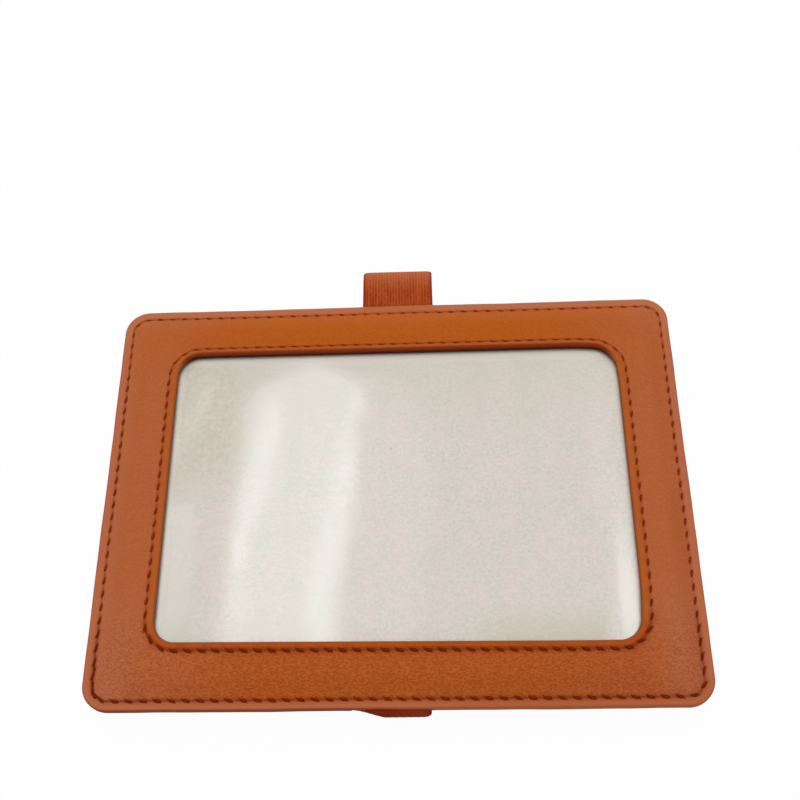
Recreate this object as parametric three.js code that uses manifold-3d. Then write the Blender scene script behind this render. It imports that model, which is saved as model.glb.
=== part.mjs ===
// Sun visor card holder: a leather frame round a clear window, sewn to a plain leather
// back, with an elastic strap that loops behind it and goes over the visor.
// Millimetres, +Z up. The holder lies on its strap with the window up. +X is its right
// and +Y its top edge. The origin is on the strap's underside, below the panel's centre.
import * as THREE from 'three';
import { mergeVertices } from 'three/addons/utils/BufferGeometryUtils.js';
import Module from 'manifold-3d';

// Panel and window
const panelWidth = 115;
const panelHeight = 85;
const panelCornerRadius = 5;
const frameBorder = 12;
const windowCornerRadius = 4.5;
const topBorderTrim = 0.6;

// Layers
const skinThickness = 1;
const boardThickness = 0.4;
const filmThickness = 0.25;
const liningThickness = 0.3;
const pocketGap = 0.5;

// Rim, where the two skins lie face to face, and the slope up from it
const rimWidth = 3;
const rimSlope = 2.2;
const shoulderRound = 0.6;
const edgeRadius = 0.45;
const innerCornerRadius = 0.5;

// Window lip, turned down over the frame board
const lipThickness = 0.9;
const lipRadius = 0.5;
const lipDrop = 0.15;
const crownFall = 0.8;

// Seams
const outerSeamInset = 1.7;
const windowSeamInset = 1.55;
const seamDepth = 0.3;
const seamBank = 0.25;
const threadDiameter = 0.5;
const stitchPitch = 2.6;
const stitchRise = 0.3;

// Elastic strap
const strapWidth = 15;
const strapThickness = 1;
const strapPressedThickness = 0.4;
const strapSewnDepth = 2.8;
const strapExit = 0.05;
const strapTaper = 0.15;
const topLoopReach = 11;
const bottomFoldRadius = 0.1;
const loopEndInset = 6.5;
const strapNodeGap = 0.3;
const visorGap = 5;

// Slot in the back that the card goes in by: what is left of the back beside and past it
const cardSlotMargin = 0.6;
const cardSlotEndMargin = 7.5;

// Clearances between pieces
const boardClearance = 0.3;
const seatClearance = 0.05;

// Facets
const cornerSteps = 6;
const roundSteps = 3;
const shoulderSteps = 4;
const curveSegments = 6;

// Heights of the layers, from the strap up
const zBackFace = strapThickness + visorGap;
const zBackBoard = zBackFace + skinThickness;
const zLining = zBackBoard + boardThickness;
const zPocket = zLining + liningThickness;
const zFilm = zPocket + pocketGap;
const zFrontBoard = zFilm + filmThickness;
const zFrontSkin = zFrontBoard + boardThickness;
const zFrontFace = zFrontSkin + skinThickness;
const zRim = (zBackFace + zFrontFace) / 2;
const zRimTop = zRim + skinThickness;
const zRimBottom = zRim - skinThickness;
const zLip = zFrontFace - lipDrop;

// Distances in from the panel's edge
const boardInset = rimWidth + rimSlope;
const shoulderInset = boardInset + shoulderRound;
const sheetInset = boardInset + boardClearance;
const lipInset = frameBorder - lipThickness;
const windowSeamLine = frameBorder - windowSeamInset;
const grooveFloor = threadDiameter / 2 + seatClearance;
const grooveHalf = grooveFloor + seamBank;
const crownInset = windowSeamLine - grooveHalf - crownFall;
const cardSlotLine = (shoulderInset + frameBorder) / 2;
const cardSlotWidth = frameBorder - shoulderInset - 2 * cardSlotMargin;

const wasm = await Module();
wasm.setup();

function toSolid(geometry) {
  const bare = geometry.clone();
  bare.deleteAttribute('normal');
  bare.deleteAttribute('uv');
  const merged = mergeVertices(bare);
  return new wasm.Manifold(new wasm.Mesh({
    numProp: 3,
    vertProperties: new Float32Array(merged.attributes.position.array),
    triVerts: new Uint32Array(merged.index.array),
  }));
}

function toGeometry(solid) {
  const mesh = solid.getMesh();
  const geometry = new THREE.BufferGeometry();
  geometry.setAttribute('position', new THREE.BufferAttribute(mesh.vertProperties, 3));
  geometry.setIndex(new THREE.BufferAttribute(mesh.triVerts, 1));
  geometry.computeVertexNormals();
  return geometry;
}

function cutAway(geometry, tools) {
  return toGeometry(tools.reduce((solid, tool) => solid.subtract(toSolid(tool)), toSolid(geometry)));
}

// Corners follow the panel's edge near the edge and the window near the window.
function cornerRadiusAt(inset) {
  return inset < (shoulderInset + crownInset) / 2
    ? Math.max(panelCornerRadius - inset, innerCornerRadius)
    : windowCornerRadius + frameBorder - inset;
}

// The frame is narrower along its top: the rings near the window reach higher there.
function topLift(inset) {
  const share = (inset - shoulderInset) / (crownInset - shoulderInset);
  return topBorderTrim * THREE.MathUtils.clamp(share, 0, 1);
}

// The centres of the four corner arcs, anticlockwise from the top right
function cornerCentres(inset, radius) {
  const x = panelWidth / 2 - inset - radius;
  const y = panelHeight / 2 - inset - radius;
  const top = y + topLift(inset);
  return [[x, top], [-x, top], [-x, -y], [x, -y]];
}

function ringAt([inset, z]) {
  const radius = cornerRadiusAt(inset);
  return cornerCentres(inset, radius).flatMap(([x, y], corner) => (
    Array.from({ length: cornerSteps + 1 }, (_, step) => {
      const angle = (corner + step / cornerSteps) * Math.PI / 2;
      return new THREE.Vector3(x + radius * Math.cos(angle), y + radius * Math.sin(angle), z);
    })
  ));
}

// A path round the panel at one inset, with true arcs at its corners
function seamPath(inset) {
  const radius = cornerRadiusAt(inset);
  const path = new THREE.Path();
  cornerCentres(inset, radius).forEach(([x, y], corner) => {
    path.absarc(x, y, radius, corner * Math.PI / 2, (corner + 1) * Math.PI / 2);
  });
  path.closePath();
  return path;
}

function signedVolume(positions, index) {
  const corner = (i) => new THREE.Vector3().fromArray(positions, index[i] * 3);
  let volume = 0;
  for (let i = 0; i < index.length; i += 3) {
    volume += corner(i).dot(corner(i + 1).cross(corner(i + 2))) / 6;
  }
  return volume;
}

// Skins a row of rings. A closed row joins its last ring to its first; an open row is
// capped by a flat fan at each end.
function loft(rings, closed) {
  const count = rings[0].length;
  const points = rings.flat();
  const index = [];
  const bands = closed ? rings.length : rings.length - 1;
  for (let band = 0; band < bands; band += 1) {
    const next = (band + 1) % rings.length;
    for (let i = 0; i < count; i += 1) {
      const j = (i + 1) % count;
      const [a, b] = [band * count + i, band * count + j];
      const [c, d] = [next * count + j, next * count + i];
      index.push(a, b, c, a, c, d);
    }
  }
  if (!closed) {
    const last = (rings.length - 1) * count;
    const firstHub = points.push(new THREE.Vector3(0, 0, rings[0][0].z)) - 1;
    const lastHub = points.push(new THREE.Vector3(0, 0, rings.at(-1)[0].z)) - 1;
    for (let i = 0; i < count; i += 1) {
      const j = (i + 1) % count;
      index.push(firstHub, j, i, lastHub, last + i, last + j);
    }
  }
  const positions = points.flatMap((point) => point.toArray());
  if (signedVolume(positions, index) < 0) {
    index.reverse();
  }
  const geometry = new THREE.BufferGeometry();
  geometry.setAttribute('position', new THREE.Float32BufferAttribute(positions, 3));
  geometry.setIndex(index);
  geometry.computeVertexNormals();
  return geometry;
}

function loftFrame(profile) {
  return loft(profile.map(ringAt), true);
}

function loftSheet(profile) {
  return loft(profile.map(ringAt), false);
}

function flatSheet(inset, zLow, zHigh) {
  return loftSheet([[inset, zHigh], [inset, zLow]]);
}

// Section points of a rounded edge, from its side face over to its flat face
function roundedEdge(inset, zFlat, inward, downward, radius) {
  return Array.from({ length: roundSteps + 1 }, (_, step) => {
    const angle = step / roundSteps * Math.PI / 2;
    const side = inset + inward * radius * (1 - Math.cos(angle));
    return [side, zFlat + downward * radius * (1 - Math.sin(angle))];
  });
}

// Section points of the pressed line that a seam lies in
function seamGroove(line, zSurface, downward) {
  const zFloor = zSurface + downward * seamDepth;
  return [
    [line - grooveHalf, zSurface],
    [line - grooveFloor, zFloor],
    [line + grooveFloor, zFloor],
    [line + grooveHalf, zSurface],
  ];
}

// Section points of the soft slope from the rim up over the board's edge
function shoulder(zFrom, zTo) {
  const start = outerSeamInset + grooveHalf;
  return Array.from({ length: shoulderSteps }, (_, step) => {
    const share = (step + 1) / shoulderSteps;
    const rise = share * share * (3 - 2 * share);
    return [start + (shoulderInset - start) * share, zFrom + (zTo - zFrom) * rise];
  });
}

// Tools that cut the skins where the strap's ends lie between them
function strapNotches() {
  const depth = strapSewnDepth + seatClearance;
  const height = strapPressedThickness + 2 * seatClearance;
  const width = strapWidth + 2 * seatClearance;
  return [1, -1].map((side) => {
    const notch = new THREE.BoxGeometry(width, 2 * depth, height);
    return notch.translate(0, side * panelHeight / 2, zRim);
  });
}

// A tool that cuts the card slot, wider by a margin on every side
function cardSlot(margin) {
  const radius = cardSlotWidth / 2 + margin;
  const reach = panelHeight / 2 - cardSlotEndMargin - cardSlotWidth / 2;
  const outline = new THREE.Shape();
  outline.absarc(0, reach, radius, 0, Math.PI);
  outline.absarc(0, -reach, radius, Math.PI, 2 * Math.PI);
  outline.closePath();
  const depth = zFrontFace - zBackFace;
  const slot = new THREE.ExtrudeGeometry(outline, { depth, bevelEnabled: false, curveSegments });
  return slot.translate(panelWidth / 2 - cardSlotLine, 0, zBackFace - skinThickness);
}

function frontSkin() {
  const frame = loftFrame([
    [0, zRim],
    ...roundedEdge(0, zRimTop, 1, -1, edgeRadius),
    ...seamGroove(outerSeamInset, zRimTop, -1),
    ...shoulder(zRimTop, zFrontFace),
    [crownInset, zFrontFace],
    ...seamGroove(windowSeamLine, zLip, -1),
    ...roundedEdge(frameBorder, zLip, -1, -1, lipRadius).reverse(),
    [frameBorder, zFrontBoard],
    [lipInset, zFrontBoard],
    [lipInset, zFrontSkin],
    [boardInset, zFrontSkin],
    [rimWidth, zRim],
  ]);
  return cutAway(frame, strapNotches());
}

function backSkin() {
  const tray = loftSheet([
    [boardInset, zBackBoard],
    [rimWidth, zRim],
    [0, zRim],
    ...roundedEdge(0, zRimBottom, 1, 1, edgeRadius),
    ...seamGroove(outerSeamInset, zRimBottom, 1),
    ...shoulder(zRimBottom, zBackFace),
  ]);
  return cutAway(tray, [...strapNotches(), cardSlot(0)]);
}

function frontBoard() {
  const inner = lipInset - boardClearance;
  return loftFrame([
    [sheetInset, zFrontBoard],
    [sheetInset, zFrontSkin],
    [inner, zFrontSkin],
    [inner, zFrontBoard],
  ]);
}

// The thread of a seam: one closed loop that rises to a stitch and dips to a needle hole.
function seamThread(inset, zFloor, upward) {
  const path = seamPath(inset);
  const stitches = Math.round(path.getLength() / stitchPitch);
  const points = path.getSpacedPoints(stitches * 2).slice(0, -1);
  const radius = threadDiameter / 2;
  const zDip = zFloor + upward * (radius + seatClearance);
  const rings = points.map((point, i) => {
    const next = points[(i + 1) % points.length];
    const along = next.clone().sub(points.at(i - 1)).normalize().multiplyScalar(radius);
    const z = zDip + upward * (i % 2) * stitchRise;
    return [
      new THREE.Vector3(point.x - along.y, point.y + along.x, z),
      new THREE.Vector3(point.x, point.y, z + radius),
      new THREE.Vector3(point.x + along.y, point.y - along.x, z),
      new THREE.Vector3(point.x, point.y, z - radius),
    ];
  });
  return loft(rings, true);
}

// The strap's section runs outwards from the panel's middle, then is swept across its width.
function strapBand(shape, side) {
  const band = new THREE.ExtrudeGeometry(shape, { depth: strapWidth, bevelEnabled: false, curveSegments });
  band.translate(0, 0, -strapWidth / 2);
  const basis = new THREE.Matrix4().makeBasis(
    new THREE.Vector3(0, side, 0),
    new THREE.Vector3(0, 0, 1),
    new THREE.Vector3(side, 0, 0),
  );
  return band.applyMatrix4(basis);
}

// A loop of the strap: its end pressed flat in the seam, its turns, and its start under the back.
function strapLoop(turns) {
  const half = strapThickness / 2;
  const pressed = strapPressedThickness / 2;
  const edge = panelHeight / 2;
  const full = edge + strapExit + strapTaper;
  const shape = new THREE.Shape();
  shape.moveTo(edge - strapSewnDepth, zRim + pressed);
  shape.lineTo(edge + strapExit, zRim + pressed);
  shape.lineTo(full, zRim + half);
  turns.forEach((turn) => {
    shape.absarc(turn.out, turn.z, turn.radius + half, turn.from, turn.to, true);
  });
  shape.lineTo(edge - loopEndInset, 0);
  shape.lineTo(edge - loopEndInset, strapThickness);
  turns.toReversed().forEach((turn) => {
    shape.absarc(turn.out, turn.z, turn.radius - half, turn.to, turn.from, false);
  });
  shape.lineTo(full, zRim - half);
  shape.lineTo(edge + strapExit, zRim - pressed);
  shape.lineTo(edge - strapSewnDepth, zRim - pressed);
  shape.closePath();
  return shape;
}

// The top loop stands out past the edge and turns back in one half circle.
function topLoop() {
  const radius = (zRim - strapThickness / 2) / 2;
  const out = panelHeight / 2 + topLoopReach - strapThickness / 2 - radius;
  return strapBand(strapLoop([
    { out, z: zRim - radius, radius, from: Math.PI / 2, to: -Math.PI / 2 },
  ]), 1);
}

// The bottom loop folds down close to the edge, then sweeps in under the back in a quarter circle.
function bottomLoop() {
  const half = strapThickness / 2;
  const turnRadius = bottomFoldRadius + half;
  const turnOut = panelHeight / 2 + strapExit + strapTaper;
  const turnZ = zRim - turnRadius;
  const sweepRadius = turnZ - half;
  const sweepOut = turnOut + turnRadius - sweepRadius;
  return strapBand(strapLoop([
    { out: turnOut, z: turnZ, radius: turnRadius, from: Math.PI / 2, to: 0 },
    { out: sweepOut, z: turnZ, radius: sweepRadius, from: 0, to: -Math.PI / 2 },
  ]), -1);
}

function strapRun() {
  const length = panelHeight - 2 * (loopEndInset + strapNodeGap);
  return new THREE.BoxGeometry(strapWidth, length, strapThickness).translate(0, 0, strapThickness / 2);
}

const leather = new THREE.MeshStandardMaterial({ color: '#b4612f', roughness: 0.55, metalness: 0 });
const board = new THREE.MeshStandardMaterial({ color: '#8d8578', roughness: 0.9, metalness: 0 });
const lining = new THREE.MeshStandardMaterial({ color: '#cdc7bb', roughness: 0.9, metalness: 0 });
const elastic = new THREE.MeshStandardMaterial({ color: '#9c4526', roughness: 0.85, metalness: 0 });
const thread = new THREE.MeshStandardMaterial({ color: '#8a3a17', roughness: 0.6, metalness: 0 });
const film = new THREE.MeshStandardMaterial({
  color: '#f4f5f2',
  roughness: 0.08,
  metalness: 0,
  transparent: true,
  opacity: 0.25,
});

const holder = new THREE.Group();

function addPiece(name, geometry, material) {
  const mesh = new THREE.Mesh(geometry, material);
  mesh.name = name;
  holder.add(mesh);
}

addPiece('front_skin', frontSkin(), leather);
addPiece('front_board', frontBoard(), board);
addPiece('window_film', flatSheet(sheetInset, zFilm, zFrontBoard), film);
addPiece('pocket_lining', cutAway(flatSheet(sheetInset, zLining, zPocket), [cardSlot(0)]), lining);
addPiece('back_board', cutAway(flatSheet(sheetInset, zBackBoard, zLining), [cardSlot(boardClearance)]), board);
addPiece('back_skin', backSkin(), leather);
addPiece('strap_top_loop', topLoop(), elastic);
addPiece('strap_back_run', strapRun(), elastic);
addPiece('strap_bottom_loop', bottomLoop(), elastic);
addPiece('outer_seam_thread', seamThread(outerSeamInset, zRimTop - seamDepth, 1), thread);
addPiece('outer_seam_bobbin', seamThread(outerSeamInset, zRimBottom + seamDepth, -1), thread);
addPiece('window_seam_thread', seamThread(windowSeamLine, zLip - seamDepth, 1), thread);

export default holder;
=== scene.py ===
import math
import random

import bmesh
import bpy
import numpy as np
from mathutils import Matrix, Vector


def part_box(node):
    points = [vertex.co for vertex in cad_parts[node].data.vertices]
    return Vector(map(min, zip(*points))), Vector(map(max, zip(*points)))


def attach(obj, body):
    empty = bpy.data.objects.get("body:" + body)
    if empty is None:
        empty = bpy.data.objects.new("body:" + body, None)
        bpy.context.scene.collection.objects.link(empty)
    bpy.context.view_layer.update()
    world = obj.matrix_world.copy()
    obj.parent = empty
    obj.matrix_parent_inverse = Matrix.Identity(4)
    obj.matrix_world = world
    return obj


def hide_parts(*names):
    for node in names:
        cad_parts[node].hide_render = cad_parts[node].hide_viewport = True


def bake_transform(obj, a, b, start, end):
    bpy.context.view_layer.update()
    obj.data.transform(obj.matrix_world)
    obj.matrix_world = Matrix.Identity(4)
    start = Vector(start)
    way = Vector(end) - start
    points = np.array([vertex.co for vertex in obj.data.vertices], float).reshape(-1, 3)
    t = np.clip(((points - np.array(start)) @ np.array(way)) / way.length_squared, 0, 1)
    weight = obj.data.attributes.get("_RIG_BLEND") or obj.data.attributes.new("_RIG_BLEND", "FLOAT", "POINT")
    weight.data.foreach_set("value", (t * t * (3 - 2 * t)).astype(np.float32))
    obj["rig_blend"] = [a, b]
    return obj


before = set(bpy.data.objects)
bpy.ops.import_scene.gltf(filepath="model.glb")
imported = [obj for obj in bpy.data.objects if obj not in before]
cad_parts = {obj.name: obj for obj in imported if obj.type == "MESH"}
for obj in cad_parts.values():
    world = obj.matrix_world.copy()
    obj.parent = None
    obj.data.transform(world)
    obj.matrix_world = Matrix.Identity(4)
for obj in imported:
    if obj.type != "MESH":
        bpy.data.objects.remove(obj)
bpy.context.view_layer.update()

mm = 0.001  # shapes are worked out in millimetres and brought to metres once they are whole


# A socket that maths can be written on: each expression adds its own Math nodes.
class Wire:
    def __init__(self, tree, socket=None):
        self.tree = tree
        self.socket = socket

    def node(self, kind, settings=None, inputs=None, output=0):
        made = self.tree.nodes.new(kind)
        for name, value in (settings or {}).items():
            setattr(made, name, value)
        for name, value in (inputs or {}).items():
            if isinstance(value, Wire):
                self.tree.links.new(value.socket, made.inputs[name])
            else:
                made.inputs[name].default_value = value
        return Wire(self.tree, made.outputs[output] if len(made.outputs) else None)

    def maths(self, operation, *values):
        return self.node("ShaderNodeMath", {"operation": operation}, dict(enumerate(values)))

    def __add__(self, other):
        return self.maths("ADD", self, other)

    __radd__ = __add__

    def __sub__(self, other):
        return self.maths("SUBTRACT", self, other)

    def __rsub__(self, other):
        return self.maths("SUBTRACT", other, self)

    def __mul__(self, other):
        return self.maths("MULTIPLY", self, other)

    __rmul__ = __mul__

    def __truediv__(self, other):
        return self.maths("DIVIDE", self, other)

    def __pow__(self, other):
        return self.maths("POWER", self, other)

    def size(self):
        return self.maths("ABSOLUTE", self)

    def fract(self):
        return self.maths("FRACT", self)

    def larger(self, other):
        return self.maths("MAXIMUM", self, other)

    # 0 below low and 1 above high, or the other way round where low is the greater
    def ease(self, low, high):
        settings = {"interpolation_type": "SMOOTHSTEP"}
        return self.node("ShaderNodeMapRange", settings, {0: self, 1: low, 2: high})

    def axis(self, index):
        return self.node("ShaderNodeSeparateXYZ", inputs={0: self}, output=index)

    def mixed(self, first, second, share):
        return self.node("ShaderNodeMix", {"data_type": "RGBA"}, {0: share, 6: first, 7: second}, 2)

    def noise(self, place, scale, detail=2.0, roughness=0.5, form=None):
        if form:
            place = self.node("ShaderNodeMapping", inputs={"Vector": place, "Scale": form})
        inputs = {"Vector": place, "Scale": scale, "Detail": detail, "Roughness": roughness}
        return self.node("ShaderNodeTexNoise", inputs=inputs)

    def mark(self, name):
        return self.node("ShaderNodeAttribute", {"attribute_name": name}, output="Fac")

    def run(self, name):
        return self.node("ShaderNodeUVMap", {"uv_map": name})


# A material with its wire and the place on the holder that its patterns start from
def newMaterial(name):
    material = bpy.data.materials.new(name)
    material.use_nodes = True
    material.node_tree.nodes.clear()
    wire = Wire(material.node_tree)
    return material, wire, wire.node("ShaderNodeTexCoord", output="Object")


def surface(wire, shader):
    wire.node("ShaderNodeOutputMaterial", inputs={"Surface": shader})


# A look's noises by name, each from its scale, detail, roughness and the form it is stretched to
def noises(wire, place, look):
    return {name: wire.noise(place, *values) for name, values in look["noises"].items()}


# Lays tints over a base colour in turn. A tint's share comes in between a measure's two limits, from
# none to full, or is scaled by a measure that has no limits.
def layered(wire, look, base, tints, measures):
    colour = look[base]
    for tint, share, *scales in tints:
        for measure, *limits in scales:
            value = measures[measure]
            share = share * (value.ease(*limits) if limits else value)
        colour = wire.mixed(colour, look[tint], share)
    return colour


# A finish from a look: its tints, its least roughness and how much more it has where it varies,
# its bump's strength and depth, and its gloss
def coat(wire, look, base, measures, varies, height):
    least, more = look["rough"]
    strength, depth = look["bump"]
    bump = wire.node("ShaderNodeBump", inputs={"Strength": strength, "Distance": depth, "Height": height})
    surface(wire, wire.node("ShaderNodeBsdfPrincipled", inputs={
        "Base Color": layered(wire, look, base, look["tints"], measures),
        "Roughness": least + more * varies, "Normal": bump, "Specular IOR Level": look["gloss"]}))


# A colour as it is seen on a screen, 0 to 255, made linear
def shade(red, green, blue):
    def linear(value):
        value = value / 255
        return value / 12.92 if value <= 0.04045 else ((value + 0.055) / 1.055) ** 2.4
    return (linear(red), linear(green), linear(blue), 1.0)


def smooth(value):
    value = np.clip(value, 0.0, 1.0)
    return value * value * (3 - 2 * value)


def bell(distance, width):
    return np.exp(-(distance / width) ** 2)


def nodeBox(node):
    low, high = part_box(node)
    return np.array(low) / mm, np.array(high) / mm


def added(name, data):
    made = bpy.data.objects.new(name, data)
    bpy.context.scene.collection.objects.link(made)
    return made


def fresh(bm, name, sharpAngle=None):
    bmesh.ops.scale(bm, vec=(mm, mm, mm), verts=bm.verts)
    for face in bm.faces:
        face.smooth = True
    mesh = bpy.data.meshes.new(name)
    bm.to_mesh(mesh)
    bm.free()
    if sharpAngle is not None:
        mesh.set_sharp_from_angle(angle=math.radians(sharpAngle))
    return added(name, mesh)


def vertsOf(parts):
    return [part for part in parts if isinstance(part, bmesh.types.BMVert)]


# Gives a flat sheet its thickness, downwards
def thicken(bm, thickness):
    copy = bmesh.ops.extrude_face_region(bm, geom=bm.faces[:])["geom"]
    bmesh.ops.translate(bm, verts=vertsOf(copy), vec=(0, 0, -thickness))
    bmesh.ops.recalc_face_normals(bm, faces=bm.faces)


mergeDistance = 0.0005  # mm


# Lays a grid's corners on given points, row by row; what meets is merged afterwards.
# runs gives each UV map's values by column and by row; marks gives each row's tags.
def wrapGrid(bm, points, runs=None, marks=None):
    rows, columns = points.shape[:2]
    runs, marks = runs or {}, marks or {}
    for name in ("sheet", *runs):
        bm.loops.layers.uv.new(name)
    for name in marks:
        bm.verts.layers.float.new(name)
    sheet = bm.loops.layers.uv["sheet"]
    maps = [(bm.loops.layers.uv[name], *run) for name, run in runs.items()]
    tags = [(bm.verts.layers.float[name], tag) for name, tag in marks.items()]
    bmesh.ops.create_grid(bm, x_segments=columns - 1, y_segments=rows - 1, size=1, calc_uvs=True)
    for face in bm.faces:
        for loop in face.loops:
            column = round(loop[sheet].uv.x * (columns - 1))
            row = round(loop[sheet].uv.y * (rows - 1))
            for layer, byColumn, byRow in maps:
                loop[layer].uv = (byColumn[column], byRow[row])
    for vert in bm.verts:
        column = round((vert.co.x + 1) / 2 * (columns - 1))
        row = round((vert.co.y + 1) / 2 * (rows - 1))
        for layer, tag in tags:
            vert[layer] = tag[row]
        vert.co = points[row, column]
    bmesh.ops.remove_doubles(bm, verts=bm.verts, dist=mergeDistance)


# Camera, fitted to the panel's corners and the window's in the photograph
camera = {
    "lens": 49.68, "sensor": 36.0, "nearest": 10.0,
    "azimuth": -4.57, "elevation": 61.88, "roll": -5.31,  # degrees
    "distance": 226.8, "target": (1.09, 19.99, 8.0),  # mm
}


def placeCamera():
    azimuth, elevation, roll = (math.radians(camera[name]) for name in ("azimuth", "elevation", "roll"))
    level = math.cos(elevation)
    back = Vector((-math.sin(azimuth) * level, -math.cos(azimuth) * level, math.sin(elevation)))
    right = (-back).cross(Vector((0, 0, 1))).normalized()
    up = right.cross(-back)
    turned = math.cos(roll) * right + math.sin(roll) * up
    raised = math.cos(roll) * up - math.sin(roll) * right
    lens = bpy.data.cameras.new("camera")
    lens.lens = camera["lens"]
    lens.sensor_width = camera["sensor"]
    lens.clip_start = camera["nearest"] * mm
    holder = added("camera", lens)
    place = (Vector(camera["target"]) + back * camera["distance"]) * mm
    facing = Matrix((turned, raised, back)).transposed().to_4x4()
    holder.matrix_world = Matrix.Translation(place) @ facing
    bpy.context.scene.camera = holder


placeCamera()
print("camera placed")


# Soft boxes: place and size in mm and brightness, for one that hangs level its turn in degrees, and
# True if it is oval; the first two face the holder
softBoxes = {
    "overBox": ((40, -150, 920), (640, 620), 3.1),
    "backBox": ((-200, 800, 760), (520, 460), 3.6),
    "sideBox": ((345, 330, 800), (120, 520), 3.4, 0),
    # What the film mirrors: a wide rounded glow, with a narrow streak along each side of it
    "wideGlow": ((-158, 315, 900), (120, 350), 1.65, -3),
    "wideCap": ((-141, 496, 900), (120, 110), 1.75, -3, True),
    "farStreak": ((-272, 470, 878), (16, 120), 1.3, -15, True),
    "farPatch": ((-282, 284, 886), (38, 170), 0.95, -3),
    "leftStreak": ((-186, 396, 880), (27, 196), 1.3, -11, True),
    "lowStreak": ((-199, 268, 875), (25, 120), 0.8, 2, True),
    "highStreak": ((-92, 450, 883), (26, 140), 0.5, -6, True),
    "rightStreak": ((-117, 210, 890), (31, 430), 1.1, -6, True),
    "capStreak": ((-112, 528, 885), (92, 18), 0.8, -6, True),
    "sideGlow": ((-66, 340, 893), (120, 420), 0.35, -4, True),
}

# Studio: a pale world and a white floor
studio = {
    "worldGlow": 0.3, "coolWhite": (0.86, 0.95, 1.0), "plainWhite": (1, 1, 1),
    "floorSize": 4000, "floorCells": 8, "floorWhite": 0.96, "floorTooth": 40.0,
    "floorDull": shade(250, 250, 250), "floorPale": shade(253, 253, 253),
}


def hangSoftBox(name, place, size, glow, turn=None, oval=False):
    level = turn is not None
    lamp = bpy.data.lights.new(name, "AREA")
    lamp.shape = "ELLIPSE" if oval else "RECTANGLE"
    lamp.size, lamp.size_y = (side * mm for side in size)
    area = lamp.size * lamp.size_y * (math.pi / 4 if oval else 1)
    lamp.energy = glow * math.pi * area
    lamp.color = studio["coolWhite"] if level else studio["plainWhite"]
    away = Vector((0, 0, 1)) if level else Vector(place)
    facing = away.to_track_quat("Z", "Y").to_matrix().to_4x4()
    turned = Matrix.Rotation(math.radians(turn or 0), 4, "Z")
    added(name, lamp).matrix_world = Matrix.Translation(Vector(place) * mm) @ facing @ turned


# 1 for the rays that show the background: straight to the camera, mirrored or through glass
def seenRays(wire):
    names = ("Is Camera Ray", "Is Glossy Ray", "Is Transmission Ray")
    direct, mirrored, through = (wire.node("ShaderNodeLightPath", output=name) for name in names)
    return direct.larger(mirrored).larger(through)


def makeWorld():
    world = bpy.data.worlds.new("paleRoom")
    bpy.context.scene.world = world
    world.use_nodes = True
    world.node_tree.nodes.clear()
    wire = Wire(world.node_tree)
    glow = studio["worldGlow"]
    strength = glow + (1 - glow) * seenRays(wire)
    back = wire.node("ShaderNodeBackground", inputs={"Color": (1, 1, 1, 1), "Strength": strength})
    wire.node("ShaderNodeOutputWorld", inputs={"Surface": back})


def makeFloor():
    bm = bmesh.new()
    cells = studio["floorCells"]
    bmesh.ops.create_grid(bm, x_segments=cells, y_segments=cells, size=studio["floorSize"] / 2)
    floor = fresh(bm, "floor")
    material, wire, place = newMaterial("whiteFloor")
    tooth = wire.noise(place, studio["floorTooth"])
    paint = wire.mixed(studio["floorDull"], studio["floorPale"], tooth)
    matt = wire.node("ShaderNodeBsdfDiffuse", inputs={"Color": paint})
    light = wire.node("ShaderNodeEmission", inputs={"Color": (1, 1, 1, 1), "Strength": 1.0})
    white = seenRays(wire) * studio["floorWhite"]
    lit = wire.node("ShaderNodeMixShader", inputs={0: white, 1: matt, 2: light})
    below = wire.node("ShaderNodeNewGeometry", output="Backfacing")
    nothing = wire.node("ShaderNodeBsdfTransparent")
    surface(wire, wire.node("ShaderNodeMixShader", inputs={0: below, 1: lit, 2: nothing}))
    floor.data.materials.append(material)
    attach(floor, "strap")  # the holder lies on its strap's run, so the floor stays under it


for lampName, lampForm in softBoxes.items():
    hangSoftBox(lampName, *lampForm)
makeWorld()
makeFloor()
bpy.context.scene.view_settings.view_transform = "Standard"
print("studio lit")


# The panel's outline and layers, from the frame and a few sizes of the sewn work, in mm
panel = {
    "cornerRadius": 5.0, "border": 12.28, "windowRadius": 4.1,
    "leastRadius": 0.6, "blendStart": 2.8, "blendWidth": 5.6,  # from the panel's corners to the window's
    # The frame is narrower along its top and its right side
    "topTrim": 0.6, "sideTrim": 0.24, "windowShift": 0.4, "trimStart": 5.8, "trimEnd": 9.0,
    # The window's bottom lies askew, with its seam
    "lowDrop": -0.17, "lowTilt": -0.3, "lowSeamRise": 0.18, "seamSpread": 0.8,
    # How far in the outer seam strays
    "topSeamIn": 0.22, "leftSeamIn": 0.15, "rightSeamIn": 0.14, "lowSeamIn": 0.1,
    # How far each corner lies from a true rectangle's
    "askew": {
        (-1, 1): (-0.25, -0.25), (1, 1): (0.0, 0.2), (-1, -1): (0.45, -0.1), (1, -1): (-0.2, -0.4),
    },
    # How far the window's corners are drawn in, and how far from each that reaches
    "windowPull": {
        (1, -1): (-0.6, 0.1, 6.5), (1, 1): (-0.45, -0.6, 4.5), (-1, 1): (0.2, -0.2, 4.5),
    },
    "longSteps": 250, "shortSteps": 178, "cornerSteps": 18,
    # How far the cut edge strays from a straight line, in waves: how many go round, share and start
    "wander": 0.07, "wanderFade": 4.0,
    "waves": [(7, 0.4, 1.3), (13, 0.3, 4.1), (29, 0.2, 0.7), (47, 0.1, 2.6)],
}
frontLow, frontHigh = nodeBox("front_skin")
filmLow, filmHigh = nodeBox("window_film")
liningLow, liningHigh = nodeBox("pocket_lining")
runLow, runHigh = nodeBox("strap_back_run")
backFace = nodeBox("back_skin")[0][2]
backBoardFace = nodeBox("back_board")[0][2]
frontBoardFace = nodeBox("front_board")[1][2]
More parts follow.
